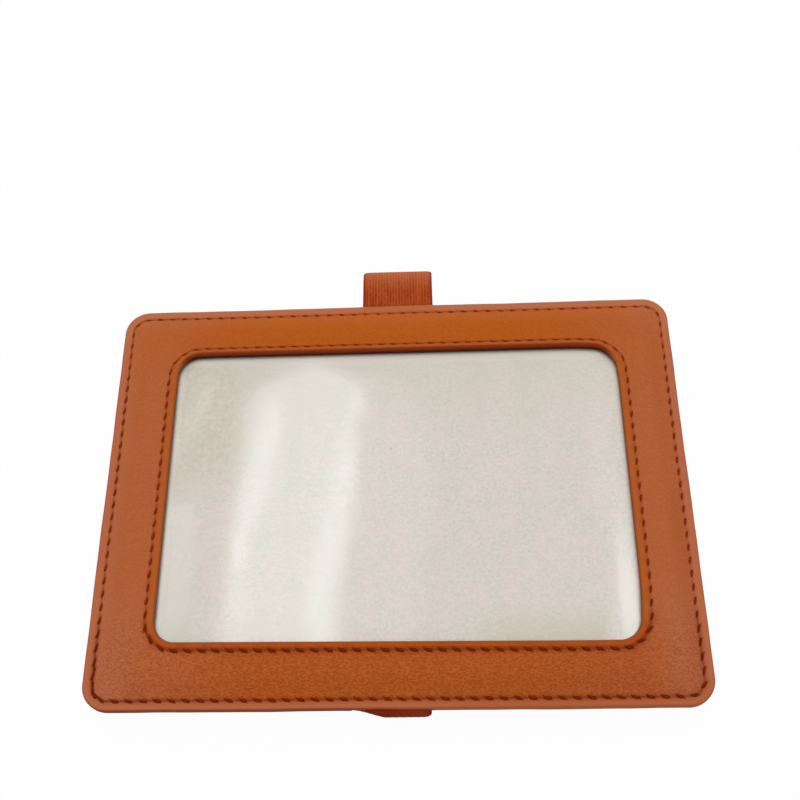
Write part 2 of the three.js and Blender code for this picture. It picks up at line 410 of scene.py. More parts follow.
topLoopEnd = nodeBox("strap_top_loop")[1][1]
bottomLoopEnd = nodeBox("strap_bottom_loop")[0][1]

halfSize = frontHigh[:2]
rimLevel = frontLow[2]  # where the two skins meet
skinThickness = frontHigh[2] - frontBoardFace
rimTop = rimLevel + skinThickness
rimBottom = rimLevel - skinThickness

# Leather: the form of a skin's section, from the panel's edge in to the window, in mm
leather = {
    "edgeRadius": 0.5, "lipRadius": 0.5, "roundSteps": 6,
    "partingBevel": 0.09, "partingRise": 0.126, "edgeRise": 0.4,
    "shoulderStart": 2.1, "shoulderEnd": 6.0, "backShoulderEnd": 5.8,
    "lipStart": 8.7, "lipLevel": 9.6, "lipDrop": 0.16, "lipFoot": (0.06, 0.3), "underLip": 0.9,
    # The lip swells, most between two stitches
    "roll": 0.1, "rollLine": 11.2, "rollWidth": 0.45, "lipBeads": 0.06,
    "lipDraw": 10.75, "topDraw": 0.5,  # along the top the lip's edge is drawn back from the window
    "crown": 0.1, "crownPower": 0.8,  # slight swell of the leather between its two seams
    "rimWidth": 3.0, "boardEdge": 5.2, "strapBulge": 0.1, "bulgeReach": 3.0, "bulgeEnd": 6.0,
    # Where the tags of the lip, the rim and the cut edge start, and over how far each comes in
    "lipTag": (-0.3, 0.5), "rimTag": (1.1, 0.7), "cutTag": 0.35, "lipShade": 0.63, "lipShadeShare": 0.3,
}

seamLines = {"outerSeam": 1.7, "windowSeam": 10.45}  # how far in from the panel's edge each seam runs
seams = {
    "pitch": 2.6,
    # How deep a stitch lies, and the leather between two
    "bed": 0.34, "between": 0.08, "halfWidth": 0.36,
    "pull": 0.1, "pullWidth": 1.5, "pullVaries": 0.3,  # the wider hollow that it draws into the leather
    "slant": 10.0, "lowSlant": 17.0,  # degrees that a stitch lies across its seam, and along the bottom
    # The seams along the top, and at the lip and the rim, are drawn less deep
    "topStart": 20.0, "topEase": 12.0, "topShallow": 0.4, "sideShallow": 0.6,
    "closeHalf": 0.45, "closeGap": 0.6,  # where the section's rows lie close, over a seam
}


# Places round the outline: the share of each half side, then the way out
def walkRound():
    signs = [(1, 1), (-1, 1), (-1, -1), (1, -1)]
    walk = []
    for corner, sign in enumerate(signs):
        for step in range(panel["cornerSteps"]):
            angle = (corner + step / panel["cornerSteps"]) * math.pi / 2
            walk.append((*sign, math.cos(angle), math.sin(angle)))
        following = signs[(corner + 1) % 4]
        steps = panel["shortSteps"] if corner % 2 else panel["longSteps"]
        angle = (corner + 1) * math.pi / 2
        for step in range(steps):
            share = step / steps
            mixed = [a + (b - a) * share for a, b in zip(sign, following)]
            walk.append((*mixed, math.cos(angle), math.sin(angle)))
    walk.append(walk[0])
    return np.array(walk)


walk = walkRound()


# True offsets of the panel's edge near the edge, and of the window near the window
def cornerRadius(inset):
    nearEdge = max(panel["cornerRadius"] - inset, panel["leastRadius"])
    nearWindow = panel["windowRadius"] + panel["border"] - inset
    return nearEdge + (nearWindow - nearEdge) * smooth((inset - panel["blendStart"]) / panel["blendWidth"])


# How far the panel's corners draw each place from a true rectangle
def drift(points):
    u, v = (points / halfSize).T
    moved = np.zeros_like(points)
    for (right, top), shift in panel["askew"].items():
        moved += ((1 + right * u) * (1 + top * v) / 4)[:, None] * np.array(shift)
    return moved


def ring(inset):
    radius = cornerRadius(inset)
    points = walk[:, :2] * (halfSize - inset - radius) + walk[:, 2:] * radius
    right, top = (1 + walk[:, 0]) / 2, (1 + walk[:, 1]) / 2
    share = smooth((inset - panel["trimStart"]) / (panel["trimEnd"] - panel["trimStart"]))
    drawn = smooth(inset - leather["lipDraw"])
    drawn = drawn * smooth((panel["border"] - inset) / leather["lipRadius"])
    points[:, 0] += share * (panel["windowShift"] + panel["sideTrim"] * walk[:, 0])
    points[:, 1] += (share * panel["topTrim"] + drawn * leather["topDraw"]) * top
    lowered = share * (panel["lowDrop"] + panel["lowTilt"] * walk[:, 0])
    lowered += panel["lowSeamRise"] * bell(inset - seamLines["windowSeam"], panel["seamSpread"])
    points[:, 1] += lowered * (1 - top)
    for corner, (pullX, pullY, reach) in panel["windowPull"].items():
        away = np.linalg.norm(points - np.array(corner) * (halfSize - panel["border"]), axis=1)
        points += share * bell(away, reach)[:, None] * np.array((pullX, pullY))
    strayed = bell(inset - seamLines["outerSeam"], panel["seamSpread"])
    fromRight = panel["rightSeamIn"] * right * (1 - top)
    fromBelow = panel["lowSeamIn"] * (1 - top) * (1 - right)
    points[:, 0] += strayed * (panel["leftSeamIn"] * (1 - right) - fromRight)
    points[:, 1] += strayed * (fromBelow - panel["topSeamIn"] * top)
    return points + drift(points)


# How far along a seam each place is, in stitches, and how many stitches go round
def stitchRun(line):
    steps = np.linalg.norm(np.diff(ring(line), axis=0), axis=1)
    length = np.concatenate([[0.0], np.cumsum(steps)])
    count = round(length[-1] / seams["pitch"])
    return length / length[-1] * count, count


seamRuns = {seam: stitchRun(line) for seam, line in seamLines.items()}
outerRun, outerCount = seamRuns["outerSeam"]
windowRun, windowCount = seamRuns["windowSeam"]


# A slow, closed wander along the edge, the same for both skins
def wandered(points, inset):
    turn = outerRun / outerCount * 2 * math.pi
    out = sum(share * np.sin(count * turn + start) for count, share, start in panel["waves"])
    out = out * panel["wander"] * math.exp(-inset / panel["wanderFade"])
    return points + walk[:, 2:] * out[:, None]


# The hollow of a seam: each stitch lies in a bed, with the leather raised between two
def seamHollow(inset, seam):
    aside = inset - seamLines[seam]
    stitch = 0.5 - 0.5 * np.cos(2 * math.pi * seamRuns[seam][0])
    depth = seams["between"] + (seams["bed"] - seams["between"]) * stitch
    pulled = seams["pull"] * (1 - seams["pullVaries"] * (1 - stitch))
    return depth * bell(aside, seams["halfWidth"]) + pulled * bell(aside, seams["pullWidth"])


# The strap, in mm; its ends lie between the skins, which part round them
strap = {
    "width": 15.0, "thickness": 1.0, "pressed": 0.42, "sewnDepth": 2.8, "foldRadius": 0.1,
    "ribs": 12, "ribRise": 0.025, "ribHalf": 0.16, "acrossSteps": 8, "rowStep": 0.3, "sharpEdge": 60,
    "edgeThin": 0.75, "edgePower": 24, "rimMargin": 0.3, "pressedOut": 0.7,
    "topShift": 0.66, "bottomShift": -0.9,
    "bendNarrow": 0.01, "bendLean": -7.0, "bendReach": 9.0,
    # How far the band's corners are drawn in where it bends, over what length and from where across
    "cornerIn": 0.5, "topCorner": (0.9, 6.0), "lowCorner": (1.2, 5.5),
    # How far the bottom loop's left side is drawn in, at the edge and below
    "tuck": 1.12, "tuckStart": 0.6, "tuckWidth": 6.2, "tuckReach": 8.0, "tuckEase": 5.0,
    "slackLeft": 2.0, "slackEase": 3.2, "tuckSide": (0.5, 1.4), "tuckDepth": 1.3,
    "roomSide": 1.1, "roomDepth": 1.2,  # how far past the band the skins part
}


def strapRoom(xy):
    middle = np.where(xy[:, 1] < 0, strap["bottomShift"], strap["topShift"])
    beside = np.abs(xy[:, 0] - middle) - strap["width"] / 2
    atEnd = np.abs(xy[:, 1]) > halfSize[1] - strap["sewnDepth"] - strap["roomDepth"]
    return smooth(1 - beside / strap["roomSide"]) * atEnd


# How far the bottom loop's left side is tucked under the edge
def strapTuck(x):
    return smooth((strap["bottomShift"] - strap["tuckStart"] - x) / strap["tuckWidth"]) * strap["tuck"]


def rollShare(inset):
    return bell(inset - leather["rollLine"], leather["rollWidth"])


def between(inset, start, end):
    return (inset - leather[start]) / (leather[end] - leather[start])


def leatherTop(inset):
    rise = frontHigh[2] - rimTop - leather["crown"]
    rise = rise * smooth(between(inset, "shoulderStart", "shoulderEnd"))
    middle = np.clip(between(inset, "shoulderStart", "lipLevel"), 0, 1)
    swell = leather["crown"] * np.sin(math.pi * middle) ** leather["crownPower"]
    fall = leather["lipDrop"] * smooth(between(inset, "lipStart", "lipLevel"))
    return rimTop + rise + swell - fall + leather["roll"] * rollShare(inset)


# Where the lip starts to turn down
lipTop = float(leatherTop(panel["border"] - leather["lipRadius"]))


def roundRows(inset, level, radius, inward, down):
    rows = []
    for step in range(leather["roundSteps"] + 1):
        angle = step / leather["roundSteps"] * math.pi / 2
        across, along = radius * (1 - math.cos(angle)), radius * (1 - math.sin(angle))
        rows.append((inset + inward * across, level + down * along))
    return rows


# The face where a skin meets the other, and its rounded edge; up is 1 for the front, -1 for the back
def edgeRows(up):
    radius = leather["edgeRadius"]
    rows = [(inset, rimLevel) for inset in (leather["rimWidth"], radius, leather["partingBevel"])]
    rows += [(0.0, rimLevel + up * rise) for rise in (leather["partingRise"], leather["edgeRise"])]
    return rows + roundRows(0, rimLevel + up * skinThickness, radius, 1, -up)


# Insets of the rows of a section, close together over its seams
def spread(*spans):
    line, half, gap = seamLines["outerSeam"], seams["closeHalf"], seams["closeGap"]
    outer = [(leather["edgeRadius"] + 0.2, line - gap, 3), (line - half, line + half, 9)]
    return np.concatenate([np.linspace(*span) for span in outer + list(spans)])


def frontRows():
    border, line, window = panel["border"], seamLines["outerSeam"], seamLines["windowSeam"]
    gap, shoulder = seams["closeGap"], leather["shoulderEnd"]
    insets = spread(
        (line + gap, shoulder, 14), (shoulder + gap, window - 0.75, 7),
        (window - 0.55, window + seams["closeHalf"], 10),
        (window + 0.58, border - leather["lipRadius"] - 0.12, 6))
    edge = edgeRows(1)
    top = [(inset, float(leatherTop(inset))) for inset in insets]
    lip = roundRows(border, lipTop, leather["lipRadius"], -1, -1)[::-1]
    footIn, footRise = leather["lipFoot"]
    inner = border - leather["underLip"]
    under = [(border, filmHigh[2] + footRise), (border - footIn, filmHigh[2]), (inner, filmHigh[2])]
    under += [(inset, frontBoardFace) for inset in (inner, leather["boardEdge"])]
    under.append((leather["rimWidth"], rimLevel))
    kinds = ["edge"] * len(edge) + ["top"] * len(top) + ["lip"] * len(lip) + ["under"] * len(under)
    return edge + top + lip + under, kinds


# Points of a skin's surface from rows of its section; up is 1 for the front and -1 for the back
def skinPoints(rows, kinds, up, windowSeam):
    points = []
    sideStart, sideEase = strap["tuckSide"]
    for (inset, level), kind in zip(rows, kinds):
        xy = ring(inset)
        room = strapRoom(xy)
        xy = wandered(xy, inset)
        z = np.full(len(xy), level)
        hidden = abs(level - rimLevel) < 0.01  # the face that meets the other skin
        if up < 0:
            leftSide = strap["bottomShift"] - strap["width"] / 2
            beside = smooth((xy[:, 0] - leftSide - sideStart) / sideEase)
            tucked = room ** 3 * beside * strapTuck(xy[:, 0]) * bell(inset, strap["tuckDepth"])
            xy[:, 1] += (xy[:, 1] < 0) * tucked
        if hidden:
            z += up * room * strap["pressed"] / 2
        elif inset < leather["bulgeEnd"]:
            z += up * room * leather["strapBulge"] * bell(inset, leather["bulgeReach"])
        if kind != "under" and not hidden:
            atTop = smooth((xy[:, 1] - seams["topStart"]) / seams["topEase"])
            fade = (1.0 if kind == "top" else seams["sideShallow"]) * (1 - seams["topShallow"] * atTop)
            z -= up * fade * seamHollow(inset, "outerSeam")
            if windowSeam:
                z -= up * fade * seamHollow(inset, "windowSeam")
                z += leather["lipBeads"] * rollShare(inset) * np.cos(2 * math.pi * windowRun)
        points.append(np.column_stack([xy, z]))
    return np.array(points)


def skinMarks(rows, kinds):
    inset, level = np.array(rows).T
    sorts = ("edge", "top", "lip", "under")
    edge, top, turned, under = (np.array([kind == sort for kind in kinds], float) for sort in sorts)
    (lipStart, lipEase), (rimStart, rimEase) = leather["lipTag"], leather["rimTag"]
    lip = smooth((inset - seamLines["windowSeam"] - lipStart) / lipEase) * (top + turned)
    rim = (top + edge) * (1 - smooth((inset - rimStart) / rimEase))
    cut = edge * (1 - smooth(inset / leather["cutTag"]))
    # The lip's wall tag: its depth down the wall, and a share over the lip's rounded edge, where shade is
    # painted
    wall = (turned + under) * np.clip((lipTop - level) / (lipTop - filmHigh[2]), 0, 1)
    shaded = np.clip((inset - panel["border"]) / leather["lipShade"] + 1, 0, 1) * (top + turned)
    wall = np.maximum(wall, leather["lipShadeShare"] * shaded)
    return {"lip": lip, "rim": rim, "cutEdge": cut, "lipWall": wall}


def skinRuns(rows):
    insets = [row[0] for row in rows]
    return {seam: (run, insets) for seam, (run, count) in seamRuns.items()}


sharpEdge = 50  # degrees at which a leather or film edge is sharp


def makeFrontLeather():
    rows, kinds = frontRows()
    bm = bmesh.new()
    wrapGrid(bm, skinPoints(rows, kinds, 1, True), skinRuns(rows), skinMarks(rows, kinds))
    bmesh.ops.recalc_face_normals(bm, faces=bm.faces)
    return fresh(bm, "frontLeather", sharpEdge)


# The back's slot: a round-ended opening that the card goes in by, with a rolled lip
slot = {
    "line": 8.9, "halfWidth": 2.5, "endMargin": 7.5, "roundSteps": 24,
    "lip": 0.28, "lipForm": [(1, 0), (0.45, 0.15), (0.12, 0.5), (0, 1.1)],  # out and up, in lips
}
slotReach = halfSize[1] - slot["endMargin"] - slot["halfWidth"]


def slotLoop(bm, halfWidth, level):
    loop = bmesh.ops.create_circle(bm, segments=2 * slot["roundSteps"], radius=halfWidth)["verts"]
    for vert in loop:
        vert.co.y += math.copysign(slotReach, vert.co.y)
    bmesh.ops.translate(bm, verts=loop, vec=(halfSize[0] - slot["line"], 0, level))
    return list({edge for vert in loop for edge in vert.link_edges})


def backRows():
    end = leather["backShoulderEnd"]
    insets = spread((seamLines["outerSeam"] + seams["closeGap"], end, 12))
    fall = (rimBottom - backFace) * smooth(between(insets, "shoulderStart", "backShoulderEnd"))
    edge, top = edgeRows(-1), list(zip(insets, rimBottom - fall))
    kinds = ["under"] + ["edge"] * len(edge) + ["top"] * len(top)
    return [(leather["boardEdge"], backBoardFace)] + edge + top, kinds


def makeBackLeather():
    rows, kinds = backRows()
    bm = bmesh.new()
    points = skinPoints(rows, kinds, -1, False)
    points[-1, :, 2] = backFace
    wrapGrid(bm, points, skinRuns(rows), skinMarks(rows, kinds))
    rims = [edge for edge in bm.edges if edge.is_boundary]
    outside = [edge for edge in rims if edge.verts[0].co.z < (backFace + backBoardFace) / 2]
    inside = [edge for edge in rims if edge not in outside]
    lip, halfWidth = slot["lip"], slot["halfWidth"]
    loops = [slotLoop(bm, halfWidth + out * lip, backFace + rise * lip) for out, rise in slot["lipForm"]]
    loops.append(slotLoop(bm, halfWidth, backBoardFace))
    bmesh.ops.triangle_fill(bm, use_beauty=True, edges=outside + loops[0])
    bmesh.ops.triangle_fill(bm, use_beauty=True, edges=inside + loops[-1])
    for first, second in zip(loops, loops[1:]):
        bmesh.ops.bridge_loops(bm, edges=first + second)
    bmesh.ops.recalc_face_normals(bm, faces=bm.faces)
    return fresh(bm, "backLeather", sharpEdge)


# Coated tan leather with a fine pebble grain; colours as seen on a screen
tanLook = {
    "middle": shade(179, 83, 21), "ends": shade(182, 97, 54), "top": shade(184, 89, 10),
    "paintedSheen": shade(183, 106, 74), "duller": shade(173, 81, 28),
    "crease": shade(140, 54, 8), "crest": shade(202, 112, 60),
    "shoulder": shade(198, 124, 90), "shadeAndWear": shade(140, 64, 24),
    "rim": shade(185, 103, 67), "rimTop": shade(188, 112, 77), "rimLow": shade(178, 97, 56),
    "lip": shade(180, 88, 32), "lipLow": shade(176, 75, 14),
    "cutEdge": shade(164, 90, 58), "cutShade": shade(112, 54, 32),
    "wall": shade(142, 76, 36), "foot": shade(74, 36, 18),
    "shadeUnderTopLip": shade(54, 14, 0), "shadeOnTopTurn": shade(140, 50, 0), "bed": shade(108, 30, 0),
    "noises": {
        "pebbles": (3400.0, 2.0, 0.6, (0.55, 1.0, 1.0)),
        "cloud": (55.0, 3.0, 0.55), "uneven": (420.0, 3.0, 0.65),
    },
    "grain": 0.45, "lowGrain": 0.63, "lowFront": (-22, -33), "plain": 0.75,
    "rough": (0.5, 0.1), "bump": (1.0, 0.00016), "gloss": 0.09,
    # Tints in turn: colour, share, and where it comes in, by x, y, x to either side or inset in mm,
    # by a noise or by the depth down the lip's wall; first those of three parts
    "parts": {
        "rim": [
            ("rimTop", 1, ("y", 30, 39), ("offStrap",)), ("rimLow", 1, ("y", -37, -39.5), ("toRight",)),
        ],
        "lip": [("lipLow", 1, ("y", -26, -30)), ("crease", 1, ("uneven", 0.45, 0.68), ("lipUneven",))],
        "cutEdge": [("cutShade", 1, ("x", 4, -12), ("y", -34, -39))],
    },
    "tints": [
        # Painted sheen: paler and pinker towards both ends and at the corners, where a soft light's sheen
        # falls, and deeper orange along the top middle, where less of it falls
        ("ends", 1, ("beside", 22, 50), ("cloudy",)), ("top", 1, ("y", 20, 36), ("midway",)),
        ("paintedSheen", 0.6, ("beside", 44, 53), ("y", -16, -30)),
        ("paintedSheen", 0.28, ("x", 46, 53), ("y", 26, 36)),
        ("duller", 0.7, ("x", 20, 34), ("x", 52, 44), ("y", -20, -32)),
        ("crease", 0.42, ("pebbles", 0.62, 0.3), ("grain",)),
        ("crest", 0.3, ("pebbles", 0.42, 0.7), ("grain",)),
        # Painted light just inside the outer seam, on the left and along the top where the shoulder's slope
        # faces the light, and painted shade low on the right where it faces away
        ("shoulder", 1, ("inset", 1.6, 2.3), ("inset", 6.0, 2.6), ("shoulderLight",)),
        ("shadeAndWear", 0.12, ("inset", 1.6, 2.3), ("inset", 6.0, 2.6), ("x", 48, 50.5), ("y", 4, -8)),
        ("rim", 0.85, ("onRim",)), ("lip", 0.85, ("onLip",)), ("cutEdge", 0.9, ("onCut",)),
        # Down the lip's wall: its own darker cut-edge colour, with painted shade over the lip's rounded
        # edge, at the wall's foot, and darkest under the top lip
        ("wall", 1, ("wall", 0.02, 0.3)), ("shadeOnTopTurn", 1, ("wall", 0.0, 0.16), ("y", 28, 30.5)),
        ("shadeUnderTopLip", 1, ("wall", 0.04, 0.42), ("y", 28, 30.5)), ("foot", 1, ("wall", 0.4, 1.0)),
        # Painted shade in the stitch beds and their grooves
        ("bed", 1, ("shadow",)),
    ],
}

# Painted shade in the beds round the stitches, in mm, widest along the bottom and faint along the top
beds = {
    "low": (-24, -29), "top": (22, 34), "left": (-43, -46),
    "wide": 0.3, "lowWide": {"outerSeam": 0.16, "windowSeam": 0.28}, "topWide": -0.08, "core": 0.08,
    "long": 1.0, "lowLong": 0.12, "even": 0.6, "lowEven": 0.15,
    "dark": 0.7, "lowDark": 0.15, "topDark": -0.15,
    # Painted shade along the line between two stitches, and in the hollow where the leather is pulled in
    # along the bottom
    "lineWide": 0.3, "line": 0.24, "lowLine": 0.1, "leftLine": 0.14,
    "topLine": {"outerSeam": 0.1, "windowSeam": 0.26}, "pulledWide": (1.1, 0.1), "pulled": 0.26,
}


def bedShadow(wire, x, y):
    low, top, left = y.ease(*beds["low"]), y.ease(*beds["top"]), x.ease(*beds["left"])
    sideLean, lowLean = (math.tan(math.radians(seams[slant])) for slant in ("slant", "lowSlant"))
    lean = sideLean * (1 - low) + lowLean * low
    long = beds["long"] + beds["lowLong"] * low
    even = beds["even"] + beds["lowEven"] * low
    dark = beds["dark"] + beds["lowDark"] * low + beds["topDark"] * top
    shadows = []
    for seam, line in seamLines.items():
        run = wire.run(seam)
        aside = run.axis(1) - line
        step = (run.axis(0).fract() - 0.5) * seams["pitch"]
        wide = beds["wide"] + beds["lowWide"][seam] * low + beds["topWide"] * top
        bed = (aside + step * lean).size().ease(wide, beds["core"]) * step.size().ease(long, even)
        drawn = beds["line"] + beds["lowLine"] * low + beds["leftLine"] * left + beds["topLine"][seam] * top
        drawn = drawn * aside.size().ease(beds["lineWide"], beds["core"])
        drawn = drawn + aside.size().ease(*beds["pulledWide"]) * beds["pulled"] * low
        shadows.append(drawn.larger(bed * dark))
    return shadows[0].larger(shadows[1])


def tanLeather():
    material, wire, place = newMaterial("tanLeather")
    x, y = place.axis(0) / mm, place.axis(1) / mm
    noise = noises(wire, place, tanLook)
    onLip, onRim, shadow = wire.mark("lip"), wire.mark("rim"), bedShadow(wire, x, y)
    # The grain is clearest along the bottom, and slight on the lip and the rim
    grain = tanLook["grain"] + tanLook["lowGrain"] * y.ease(*tanLook["lowFront"])
    grain = grain * (1 - onLip.larger(onRim) * tanLook["plain"])
    measures = {
        **noise, "x": x, "y": y, "beside": x.size(), "inset": wire.run("outerSeam").axis(1),
        "onLip": onLip, "onRim": onRim, "onCut": wire.mark("cutEdge"), "wall": wire.mark("lipWall"),
        "grain": grain, "shadow": shadow,
        "cloudy": 0.65 + 0.7 * noise["cloud"], "midway": 1 - 0.6 * x.size().ease(22, 50),
        "offStrap": 1 - 1.1 * (x - strap["topShift"]).size().ease(8.5, 6.5),
        "toRight": 0.2 + 0.8 * x.ease(-5, 20), "lipUneven": 0.15 + 0.3 * y.ease(-26, -30),
        "shoulderLight": (x.ease(-48, -50.5) * 0.2).larger(y.ease(34, 36.5) * 0.13),
    }
    parts = {part: layered(wire, tanLook, part, tints, measures) for part, tints in tanLook["parts"].items()}
    varies = noise["cloud"] + noise["pebbles"] + shadow
    coat(wire, {**tanLook, **parts}, "middle", measures, varies, noise["pebbles"] * grain)
    return material


tan = tanLeather()
frontLeather = makeFrontLeather()
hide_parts("front_skin")
backLeather = makeBackLeather()
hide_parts("back_skin")
for piece in (frontLeather, backLeather):
    piece.data.materials.append(tan)
    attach(piece, "holder")
print("leather cut and pressed:", len(frontLeather.data.polygons), len(backLeather.data.polygons))


# Thread: single stitches that dive into the leather at both ends, three plies twisted; in mm
thread = {
    "radius": 0.2, "halfLength": 0.86, "sunk": 0.2, "dive": 0.36, "rows": 9, "sides": 6,
    "plyDepth": 0.14, "twist": 1.1,  # turns of the plies in one stitch
    "span": (0.3, 0.7),  # the shares of its step between which a stitch's way is taken
    "headFat": 1.1, "tailThin": 0.5, "taperStart": 0.3, "taper": 1.3, "endPower": 6,
    # A stitch's length and width: all round, and along each side of the panel
    "long": 1.1, "lowLong": -0.1, "sideLong": -0.14, "topLong": {"outerSeam": -0.14, "windowSeam": 0.24},
    "fat": 1.0, "lowFat": 0.6, "leftFat": 0.15, "topFat": {"outerSeam": 0.25, "windowSeam": -0.15},
    "cornerFat": 0.7,
    # How unlike the stitches are, in slant, length and width, then along, aside and out
    "slantVaries": 3.0, "longVaries": 0.08, "fatVaries": 0.1, "placeVaries": (0.05, 0.02, 0.015),
    # Doubled stitches low on the left side, turned, shorter and fatter
    "tackRange": (-38.8, -32.6), "tackAside": 0.2, "tackLift": 0.07, "tackTurn": 38.0,
    "tackLong": -0.342, "tackFat": 0.57,
}


def stitchPoints():
    points = []
    for row in np.linspace(-1, 1, thread["rows"]):
        along = row * thread["halfLength"]
        height = -thread["sunk"] - thread["dive"] * abs(row) ** 3
        tail = float(smooth((thread["taperStart"] - row) / thread["taper"]))
        closing = math.sqrt(max(0.0, 1 - abs(row) ** thread["endPower"]))
        closing *= thread["headFat"] - thread["tailThin"] * tail
        twisted = row * math.pi * thread["twist"]
        ringPoints = []
        for side in range(thread["sides"] + 1):
            angle = side % thread["sides"] / thread["sides"] * 2 * math.pi + twisted
            reach = thread["radius"] * (1 - thread["plyDepth"] * (side % 2)) * closing
            ringPoints.append((along, reach * math.cos(angle), height + reach * math.sin(angle)))
        points.append(ringPoints)
    return np.array(points)


# Where a seam's stitches lie: the middle of each and its way along
def seamPlaces(seam, level):
    line = seamLines[seam]
    run, count = seamRuns[seam]
    path = wandered(ring(line), line)
    for stitch in range(count):
        ends = [np.interp(stitch + share, run, path[:, axis]) for share in thread["span"] for axis in (0, 1)]
        first, second = Vector((*ends[:2], level)), Vector((*ends[2:], level))
        yield (first + second) / 2, (second - first).normalized()


# Along the bottom the stitches are fat and short, and along the top they differ by seam
def sewSeam(name, seam, level, up):
    chance = random.Random(len(name) * 31 + seamRuns[seam][1])
    bm = bmesh.new()
    dips = np.linspace(-1, 1, thread["rows"]) ** 2
    wrapGrid(bm, stitchPoints(), marks={"dip": dips})
    pattern = list(bm.verts) + list(bm.edges) + list(bm.faces)
    placings = [(middle, way, 0) for middle, way in seamPlaces(seam, level)]
    if seam == "outerSeam":
        lowest, highest = thread["tackRange"]
        beside = Vector((thread["tackAside"], 0, up * thread["tackLift"]))
        placings += [(middle + way * seams["pitch"] * 0.5 + beside, way, 1)
                     for middle, way, tacked in placings if middle.x < 0 and lowest < middle.y < highest]
    out = Vector((0, 0, up))
    for middle, way, tacked in placings:
        low, high, left = max(0.0, way.x), max(0.0, -way.x), max(0.0, -way.y)
        slant = seams["slant"] + (seams["lowSlant"] - seams["slant"]) * low
        slant += chance.gauss(0, thread["slantVaries"]) - thread["tackTurn"] * tacked
        long = thread["long"] + thread["lowLong"] * low + thread["topLong"][seam] * high
        long += thread["sideLong"] * way.y * (1 - high) + thread["tackLong"] * tacked
        long += chance.gauss(0, thread["longVaries"])
        fat = thread["fat"] + thread["lowFat"] * low + thread["leftFat"] * left + thread["tackFat"] * tacked
        fat += (thread["topFat"][seam] + thread["cornerFat"] * abs(way.y)) * high
        fat += chance.gauss(0, thread["fatVaries"])
        shift = [chance.gauss(0, varies) for varies in thread["placeVaries"]]
        turn = Matrix((way, out.cross(way), out)).transposed().to_4x4()
        turn = Matrix.Translation(middle) @ turn @ Matrix.Rotation(-up * math.radians(slant), 4, "Z")
        turn = turn @ Matrix.Translation(shift) @ Matrix.Diagonal((long, fat, 1, 1))
        copy = bmesh.ops.duplicate(bm, geom=pattern)["geom"]
        bmesh.ops.transform(bm, matrix=turn, verts=vertsOf(copy))
    bmesh.ops.delete(bm, geom=vertsOf(pattern), context="VERTS")
    bmesh.ops.recalc_face_normals(bm, faces=bm.faces)
    return fresh(bm, name)


threadLook = {
    "colour": shade(140, 44, 2), "dark": shade(112, 30, 0), "deep": shade(88, 22, 0),
    "pale": shade(158, 70, 26), "noises": {"fuzz": (9000.0, 3.0, 0.6), "dye": (260.0, 2.0)},
    "rough": (0.55, 0.2), "bump": (0.7, 0.00004), "gloss": 0.05,
    # Painted shade where the thread dives into the leather and along the bottom, and painted light further
    # up
    "tints": [
        ("colour", 1, ("dyed",)), ("deep", 1, ("dip", 0.2, 0.75)),
        ("pale", 0.25, ("y", -30, -12)), ("deep", 0.28, ("y", -27, -30.5)),
    ],
}


def sewingThread():
    material, wire, place = newMaterial("sewingThread")
    noise = noises(wire, place, threadLook)
    dyed = 0.3 + 0.5 * noise["fuzz"] + 0.4 * noise["dye"]
    measures = {"dyed": dyed, "dip": wire.mark("dip"), "y": place.axis(1) / mm}
    coat(wire, threadLook, "dark", measures, noise["fuzz"], noise["fuzz"])
    return material


threadFinish = sewingThread()
lipSurface = float(leatherTop(seamLines["windowSeam"]))
seamPieces = {
    "outerStitches": ("outer_seam_thread", "outerSeam", rimTop, 1),
    "bobbinStitches": ("outer_seam_bobbin", "outerSeam", rimBottom, -1),
    "windowStitches": ("window_seam_thread", "windowSeam", lipSurface, 1),
}
for name, (node, seam, level, up) in seamPieces.items():
    piece = sewSeam(name, seam, level, up)
    piece.data.materials.append(threadFinish)
    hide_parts(node)
    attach(piece, "holder")
print("seams sewn:", outerCount, "stitches round the panel,", windowCount, "round the window")


# Film: a clear sheet, clamped round the window and a little wavy inside it
film = {
    "cells": (150, 104), "rough": 0.045, "smearRough": 0.05, "bentRough": 0.12,
    "leastShine": 0.045, "slantShine": 0.95, "smear": (90.0, 3.0, 0.6, (1.0, 0.35, 1.0)),
    "tint": shade(252, 253, 250), "clear": (0.985, 0.988, 0.98, 1),
    # How far it stands up, waves and bends at its right edge, in mm, and over what lengths
    "dome": 0.03, "domeEase": 9.0, "domeOver": 1.0, "ripple": 0.02, "calm": (10.0, 8.0),
    "ripples": [(6.3, 39.375, 0.4), (17, 10, 0.5)],  # lengths along x and y, and start
    "edgeLift": 0.35, "edgeGap": 0.2, "edgeBend": 5.4, "liftReach": 18.5, "liftEase": 14.0,
    "liftTop": 12.0, "liftFall": 42.0, "bentAt": (37, 40.5),
}


def filmWave(x, y):
    wide, tall = halfSize - panel["border"]
    over, ease = film["domeOver"], film["domeEase"]
    dome = film["dome"] * smooth((wide + over - abs(x)) / ease) * smooth((tall + over - abs(y)) / ease)
    calm = smooth((wide - abs(x)) / film["calm"][0]) * smooth((tall - abs(y)) / film["calm"][1])
    ripple = film["ripple"] * sum(np.sin(x / along + y / up + start) for along, up, start in film["ripples"])
    edge = wide + panel["windowShift"] + panel["sideTrim"]
    lifted = smooth((edge + film["edgeGap"] - x) / film["edgeBend"])
    lifted *= smooth((x - edge + film["liftReach"]) / film["liftEase"])
    lifted *= smooth((film["liftTop"] - y) / film["liftFall"])
    return dome + calm * ripple + film["edgeLift"] * lifted


def makeFilm():
    bm = bmesh.new()
    bmesh.ops.create_grid(bm, x_segments=film["cells"][0], y_segments=film["cells"][1], size=1)
    bmesh.ops.scale(bm, vec=(filmHigh[0], filmHigh[1], 1), verts=bm.verts)
    for vert in bm.verts:
        vert.co.z = filmHigh[2] + float(filmWave(vert.co.x, vert.co.y))
    thicken(bm, filmHigh[2] - filmLow[2])
    return fresh(bm, "windowFilm", sharpEdge)


